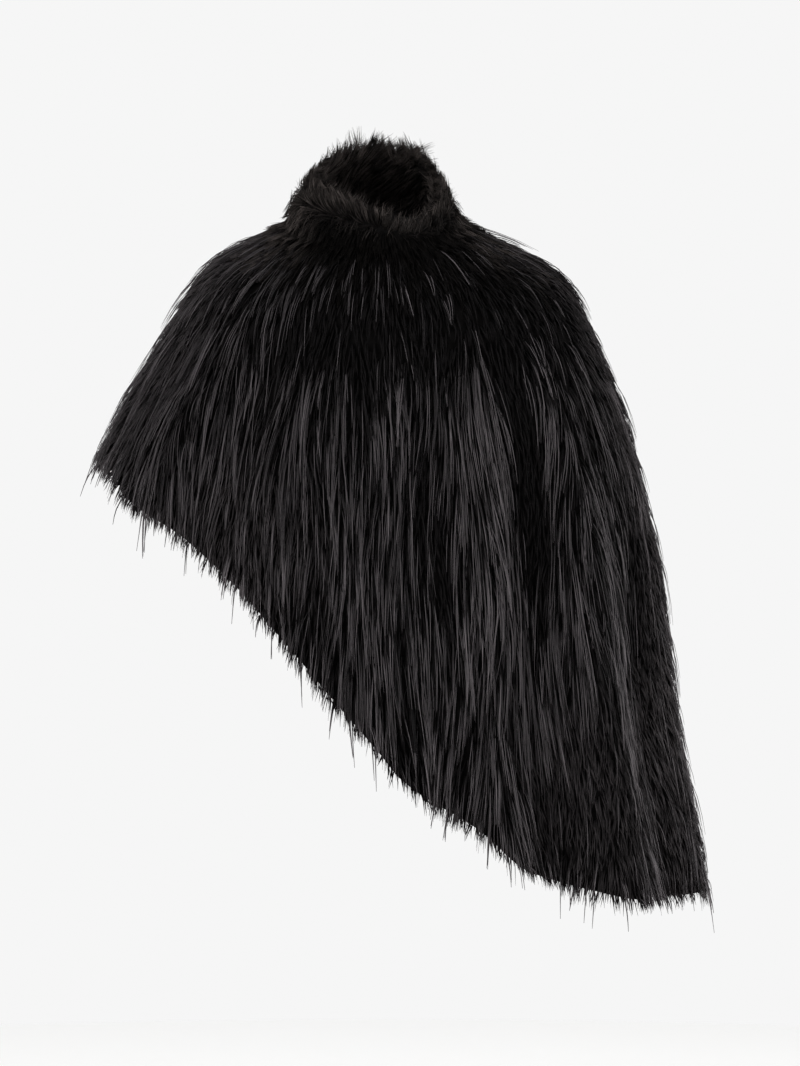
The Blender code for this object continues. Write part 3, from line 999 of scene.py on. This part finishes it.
def backing_shell(name, middle, way_end, rows, thick):
    """A thin closed sheet of backing from the neck seam to a given way, its outer side facing outwards."""
    is_body = way_end > 0
    across = np.linspace(-SIDE_SEAM, SIDE_SEAM, BACKING_COLUMNS)
    off_middle, share = spread(across, np.linspace(0, 1, rows))
    angle = wrapped(middle + off_middle)
    way = way_end * share**ROW_EASE
    if is_body:
        way = way * (1 - HEM_INSET / (hem_drop(angle) - SEAM.drop))
    layers = [below_outside(angle, way, depth) for depth in (PILE_DEPTH, PILE_DEPTH + thick)]
    # Up the collar the grid turns over, so its two layers change places
    if not is_body:
        layers.reverse()
    count = len(angle)
    faces = grid_faces(rows, BACKING_COLUMNS)
    number = np.arange(count).reshape(rows, BACKING_COLUMNS)
    border = np.concatenate([number[0, :], number[1:, -1], number[-1, -2::-1], number[-2:0:-1, 0]])
    after = np.roll(border, -1)
    edge = np.stack([border, after, after + count, border + count], axis=-1)
    mesh = mesh_of(name, np.concatenate(layers), np.concatenate([faces, faces[:, ::-1] + count, edge]))
    if is_body:
        wrong_side = np.zeros(len(mesh.polygons), np.int32)
        wrong_side[len(faces) : 2 * len(faces)] = 1
        mesh.polygons.foreach_set("material_index", wrong_side)
    map_across = CUT_MARGIN + CUT_WIDE * (off_middle + SIDE_SEAM) / (2 * SIDE_SEAM)
    spots = np.stack([map_across, CUT_MARGIN + CUT_TALL * share], axis=-1)
    spots = np.concatenate([spots, spots + np.array([WRONG_SIDE_SHIFT, 0.0])])
    loops = np.empty(len(mesh.loops), np.int32)
    mesh.loops.foreach_get("vertex_index", loops)
    layer = mesh.uv_layers.new(name="cut")
    layer.data.foreach_set("uv", spots[loops].astype(np.float32).ravel())
    return mesh


def shader_group(name, inputs, outputs):
    """An empty shader group with named sockets, what it is asked for and what it gives."""
    group = bpy.data.node_groups.new(name, "ShaderNodeTree")
    for side, sockets in (("INPUT", inputs), ("OUTPUT", outputs)):
        for socket, kind in sockets.items():
            group.interface.new_socket(socket, in_out=side, socket_type="NodeSocket" + kind)
    asked = group.nodes.new("NodeGroupInput").outputs
    given = group.nodes.new("NodeGroupOutput").inputs
    return group, asked, given


def strand_tone_group():
    """Colour and roughness of a strand from its tone, which mixes in painted sheen, and from how far along
    it is.
    """
    inputs = {
        "Spot": "Vector",
        "Dark": "Color",
        "Bright": "Color",
        "Root Tone": "Float",
        "Dull": "Float",
        "Glossy": "Float",
    }
    group, asked, given = shader_group("strand_tone", inputs, {"Colour": "Color", "Roughness": "Float"})
    spot = add(group, "ShaderNodeSeparateXYZ", [asked["Spot"]]).node.outputs
    tone = spot["Y"]
    feeds = {"Value": spot["X"], "From Max": ROOT_TONE_ENDS, "To Min": asked["Root Tone"]}
    from_root = add(group, "ShaderNodeMapRange", feeds)
    colour = blend(group, product(group, tone, from_root), asked["Dark"], asked["Bright"])
    group.links.new(colour, given["Colour"])
    group.links.new(between(group, tone, asked["Dull"], asked["Glossy"]), given["Roughness"])
    return group


def mottle_group():
    """A colour that noise varies from dark to bright, as far as a share lets it."""
    inputs = {
        "Place": "Vector",
        "Dark": "Color",
        "Bright": "Color",
        "Scale": "Float",
        "Detail": "Float",
        "Share": "Float",
    }
    group, asked, given = shader_group("mottle", inputs, {"Colour": "Color"})
    feeds = {"Vector": asked["Place"], "Scale": asked["Scale"], "Detail": asked["Detail"]}
    noise = add(group, "ShaderNodeTexNoise", feeds)
    colour = blend(group, product(group, noise, asked["Share"]), asked["Dark"], asked["Bright"])
    group.links.new(colour, given["Colour"])
    return group


def plain_material(name):
    material = bpy.data.materials.new(name)
    material.use_nodes = True
    return material, material.node_tree, material.node_tree.nodes["Principled BSDF"]


def hair_material(name, group, hair):
    """Hair of one layer, with its tone read from the map of the strands."""
    material, tree, shader = plain_material(name)
    feeds = {
        "Spot": add(tree, "ShaderNodeUVMap", settings={"uv_map": STRAND_MAP}),
        "Dark": hair.dark,
        "Bright": hair.bright,
        "Root Tone": hair.root_tone,
        "Dull": hair.dull,
        "Glossy": hair.glossy,
    }
    tone = add(tree, "ShaderNodeGroup", feeds, {"node_tree": group}).node
    tree.links.new(tone.outputs["Colour"], shader.inputs["Base Color"])
    tree.links.new(tone.outputs["Roughness"], shader.inputs["Roughness"])
    shader.inputs["Specular IOR Level"].default_value = hair.specular
    return material


def mottled(tree, group, finish, share=1.0):
    """The colour of a mottled finish."""
    feeds = {
        "Place": add(tree, "ShaderNodeTexCoord", out="Object"),
        "Dark": finish.dark,
        "Bright": finish.bright,
        "Scale": finish.scale,
        "Detail": finish.detail,
        "Share": share,
    }
    return add(tree, "ShaderNodeGroup", feeds, {"node_tree": group})


def pile_side_material(group):
    """The pile side of the backing, dark with dense fur roots and painted shade under the pile."""
    material, tree, shader = plain_material("pile_roots_shaded_black")
    tree.links.new(mottled(tree, group, PILE_ROOTS_AND_SHADE), shader.inputs["Base Color"])
    shader.inputs["Roughness"].default_value = PILE_ROOTS_AND_SHADE.roughness
    shader.inputs["Specular IOR Level"].default_value = PILE_ROOTS_SPECULAR
    return material


def wrong_side_material(group):
    """The wrong side of the backing: a fine black knit with ribs that run down the cape."""
    material, tree, shader = plain_material("backing_knit_black")
    spot = add(tree, "ShaderNodeUVMap", settings={"uv_map": "cut"})
    bands = {"wave_type": "BANDS", "bands_direction": "X"}
    ribs = add(tree, "ShaderNodeTexWave", {"Vector": spot, **KNIT_RIBS}, bands, out="Fac")
    tree.links.new(mottled(tree, group, KNIT, ribs), shader.inputs["Base Color"])
    bump = add(tree, "ShaderNodeBump", {"Height": ribs, **KNIT_RELIEF})
    tree.links.new(bump, shader.inputs["Normal"])
    shader.inputs["Roughness"].default_value = KNIT.roughness
    return material


def finishes(mottle):
    """Every finish of the cape by name."""
    tone = strand_tone_group()
    made = {layer: hair_material(f"{layer}_black", tone, hair) for layer, hair in HAIR.items()}
    made["pile_side"] = pile_side_material(mottle)
    made["wrong_side"] = wrong_side_material(mottle)
    return made


def set_camera():
    """A level camera that frames the cape as the photo does."""
    data = bpy.data.cameras.new("camera")
    data.sensor_fit = "VERTICAL"
    data.sensor_height = SENSOR
    data.lens = SENSOR * CAMERA_AWAY / (PHOTO_HEIGHT * METRES_PER_PIXEL)
    camera = bpy.data.objects.new("camera", data)
    camera.location = (LOOK_AT[0], -CAMERA_AWAY, LOOK_AT[2])
    camera.rotation_euler = (math.pi / 2, 0, 0)
    bpy.context.scene.collection.objects.link(camera)
    bpy.context.scene.camera = camera


def set_softboxes():
    for box in SOFTBOXES:
        data = bpy.data.lights.new(box.name, "AREA")
        data.shape = "RECTANGLE"
        data.size, data.size_y = box.size
        data.energy = box.power
        light = bpy.data.objects.new(box.name, data)
        light.location = box.place
        aim = Vector(LOOK_AT) - Vector(box.place)
        light.rotation_euler = aim.to_track_quat("-Z", "Y").to_euler()
        bpy.context.scene.collection.objects.link(light)


def set_paper():
    """White paper for the camera. On the cape it gives light from behind and little from the front."""
    world = bpy.data.worlds.new("studio")
    bpy.context.scene.world = world
    world.use_nodes = True
    tree = world.node_tree
    tree.nodes.clear()
    seen = add(tree, "ShaderNodeBackground", {"Color": (PAPER, PAPER, PAPER, 1), "Strength": 1.0})
    direction = add(tree, "ShaderNodeTexCoord", out="Generated")
    backwards = add(tree, "ShaderNodeSeparateXYZ", [direction], out="Y")
    feeds = {"Value": backwards, "From Max": BACK_FILL_FROM, "To Min": FRONT_FILL, "To Max": BACK_FILL}
    strength = add(tree, "ShaderNodeMapRange", feeds)
    lit = add(tree, "ShaderNodeBackground", {"Color": (1, 1, 1, 1), "Strength": strength})
    looking = add(tree, "ShaderNodeLightPath", out="Is Camera Ray")
    both = add(tree, "ShaderNodeMixShader", [looking, lit, seen])
    tree.links.new(both, tree.nodes.new("ShaderNodeOutputWorld").inputs["Surface"])


def set_floor(mottle):
    """A pale round floor that glows a little, so that it runs into the paper behind it."""
    turn = np.linspace(0, 2 * math.pi, FLOOR_SIDES, endpoint=False)
    rim = np.stack([np.cos(turn), np.sin(turn), 0 * turn], axis=-1) * FLOOR_RADIUS
    rim[:, 2] = FLOOR_HEIGHT
    mesh = mesh_of("studio_floor", rim, np.arange(FLOOR_SIDES)[None, :])
    material, tree, shader = plain_material("pale_floor")
    colour = mottled(tree, mottle, PALE_FLOOR)
    tree.links.new(colour, shader.inputs["Base Color"])
    tree.links.new(colour, shader.inputs["Emission Color"])
    shader.inputs["Emission Strength"].default_value = FLOOR_GLOW
    shader.inputs["Roughness"].default_value = PALE_FLOOR.roughness
    show("studio_floor", mesh, material)


def dress_panel(panel, tree, materials):
    """One panel's backing and its three layers of fur."""
    middle, seed = PANELS[panel]
    name = f"{panel}_backing"
    mesh = backing_shell(name, middle, 1.0, BODY_BACKING_ROWS, BACKING_THICK)
    backing = show(name, mesh, materials["pile_side"], materials["wrong_side"])
    fur = {}
    for layer, (lay, slot) in LAYERS.items():
        name = f"{layer}_{panel}"
        bed = panel_bed(name, middle, lay)
        fur[layer] = grow(name, layer, bed, tree, seed, materials[layer])
        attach(fur[layer], "root")
    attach(backing, "root")
    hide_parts(panel)
    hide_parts(f"hem_locks_{panel}")
    return backing, list(fur.values())


def dress_collar(panel, tree, materials):
    """Half the collar: its folded backing, covered in fur on both sides and over the rim."""
    middle, seed = PANELS[panel]
    name = f"collar_{panel}_backing"
    mesh = backing_shell(name, middle, RIM_WAY, COLLAR_BACKING_ROWS, COLLAR_FOLD)
    backing = show(name, mesh, materials["pile_side"])
    name = f"collar_fur_{panel}"
    bed = collar_bed(name, middle)
    fur = grow(name, "collar_fur", bed, tree, seed, materials["collar_fur"])
    for piece in (backing, fur):
        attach(piece, "root")
    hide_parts(f"collar_{panel}", f"facing_{panel}")
    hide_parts(f"rim_locks_{panel}")
    return backing, [fur]


def main():
    bpy.context.scene.view_settings.view_transform = "Standard"
    mottle = mottle_group()
    set_camera()
    set_softboxes()
    set_paper()
    set_floor(mottle)
    tree = fur_tree()
    materials = finishes(mottle)
    for panel in PANELS:
        dressed = {
            panel: dress_panel(panel, tree, materials),
            f"collar_{panel}": dress_collar(panel, tree, materials),
        }


main()
